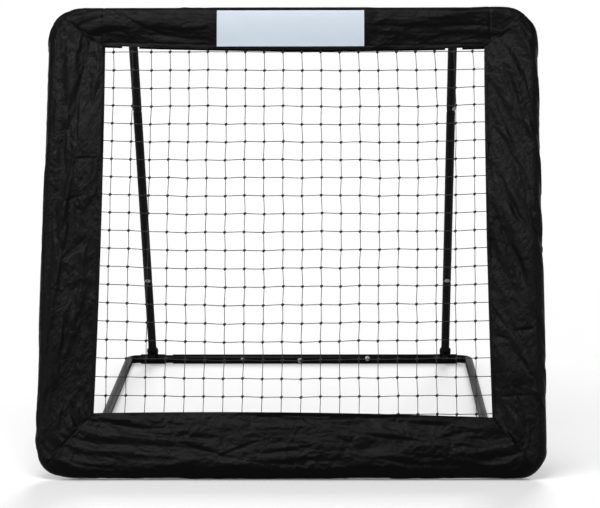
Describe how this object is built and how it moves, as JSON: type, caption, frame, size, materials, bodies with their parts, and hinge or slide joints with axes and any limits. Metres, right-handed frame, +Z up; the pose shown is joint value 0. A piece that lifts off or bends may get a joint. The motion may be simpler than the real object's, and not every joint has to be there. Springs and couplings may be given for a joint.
{
  "type": "rebounder net",
  "caption": "Square rebounder net in a padded black fabric cover, leaning back on two struts over a U-shaped tube base that folds up behind it.",
  "frame": {"origin": "on the floor, under the middle of the whole part's box", "axes": "+X to the right seen from the front, +Y from the net to the rear bar, +Z up; the net faces -Y and leans back 27 degrees"},
  "size_m": [1, 1.3715, 0.8951],
  "materials": {
    "cover_fabric": "crumpled black coated nylon, soft sheen",
    "label": "smooth pale blue-grey woven patch, bare",
    "net_twine": "knotted black twine",
    "rope": "laid black rope",
    "elastic": "braided black elastic",
    "black_paint": "satin black powder coat on steel tube",
    "tee_plastic": "moulded black plastic, low gloss",
    "zinc": "bright zinc plate",
    "spring_steel": "bare spring steel"
  },
  "bodies": {
    "frame": {"frame_corner_top_left": "black_paint", "frame_corner_top_right": "black_paint", "frame_corner_bottom_left": "black_paint", "frame_corner_bottom_right": "black_paint", "frame_joint_screw_top": "zinc", "frame_joint_screw_right": "zinc", "frame_joint_screw_bottom": "zinc", "frame_joint_screw_left": "zinc", "cover_top": "cover_fabric", "cover_right": "cover_fabric", "cover_bottom": "cover_fabric", "cover_left": "cover_fabric", "label_plate": "label", "net": "net_twine", "net_border_rope": "rope", "lacing_loop_top_1": "elastic", "lacing_loop_top_2": "elastic", "lacing_loop_top_3": "elastic", "lacing_loop_right_1": "elastic", "lacing_loop_right_2": "elastic", "lacing_loop_right_3": "elastic", "lacing_loop_bottom_1": "elastic", "lacing_loop_bottom_2": "elastic", "lacing_loop_bottom_3": "elastic", "lacing_loop_left_1": "elastic", "lacing_loop_left_2": "elastic", "lacing_loop_left_3": "elastic"},
    "base": {"base_corner_left": "black_paint", "base_corner_right": "black_paint", "base_front_tee_left": "tee_plastic", "base_front_tee_right": "tee_plastic", "rear_bar": "black_paint", "rear_bar_screw_middle": "zinc", "rear_bar_screw_right": "zinc", "button_spring": "spring_steel"},
    "left_strut": {"strut_top_tee_left": "tee_plastic", "strut_upper_left": "black_paint", "strut_middle_left": "black_paint", "strut_upper_screw_left": "zinc"},
    "left_foot": {"strut_foot_tee_left": "tee_plastic", "strut_lower_left": "black_paint", "strut_lower_screw_left": "zinc"},
    "right_strut": {"strut_top_tee_right": "tee_plastic", "strut_upper_right": "black_paint", "strut_middle_right": "black_paint", "strut_upper_screw_right": "zinc"},
    "right_foot": {"strut_foot_tee_right": "tee_plastic", "strut_lower_right": "black_paint", "strut_lower_screw_right": "zinc"},
    "snap_button": {"snap_button": "zinc"}
  },
  "joints": [
    {"name": "base_fold", "type": "hinge", "parent": "frame", "child": "base", "pos_m": [0, -0.66675, 0.019], "axis": [1, 0, 0], "range_deg": [0, 48]},
    {"name": "left_strut_fold", "type": "hinge", "parent": "frame", "child": "left_strut", "pos_m": [-0.3305, -0.23001, 0.87615], "axis": [-1, 0, 0], "range_deg": [0, 60]},
    {"name": "left_foot_fold", "type": "hinge", "parent": "base", "child": "left_foot", "pos_m": [-0.3475, 0.67425, 0.011], "axis": [1, 0, 0], "range_deg": [0, 41.5]},
    {"name": "right_strut_fold", "type": "hinge", "parent": "frame", "child": "right_strut", "pos_m": [0.3305, -0.23001, 0.87615], "axis": [-1, 0, 0], "range_deg": [0, 60]},
    {"name": "right_foot_fold", "type": "hinge", "parent": "base", "child": "right_foot", "pos_m": [0.3475, 0.67425, 0.011], "axis": [1, 0, 0], "range_deg": [0, 41.5]},
    {"name": "snap_button_press", "type": "slide", "parent": "base", "child": "snap_button", "axis": [0, 0.9781, -0.2079], "range_m": [0, 0.0033], "stiffness_N_per_m": 1500, "springref_m": -0.002, "deforming": ["button_spring"]}
  ],
  "couplings": [
    {"joint": "left_strut_fold", "follows": "base_fold", "ratio": 1.24},
    {"joint": "left_foot_fold", "follows": "base_fold", "ratio": 0.86},
    {"joint": "right_strut_fold", "follows": "base_fold", "ratio": 1.24},
    {"joint": "right_foot_fold", "follows": "base_fold", "ratio": 0.86}
  ]
}
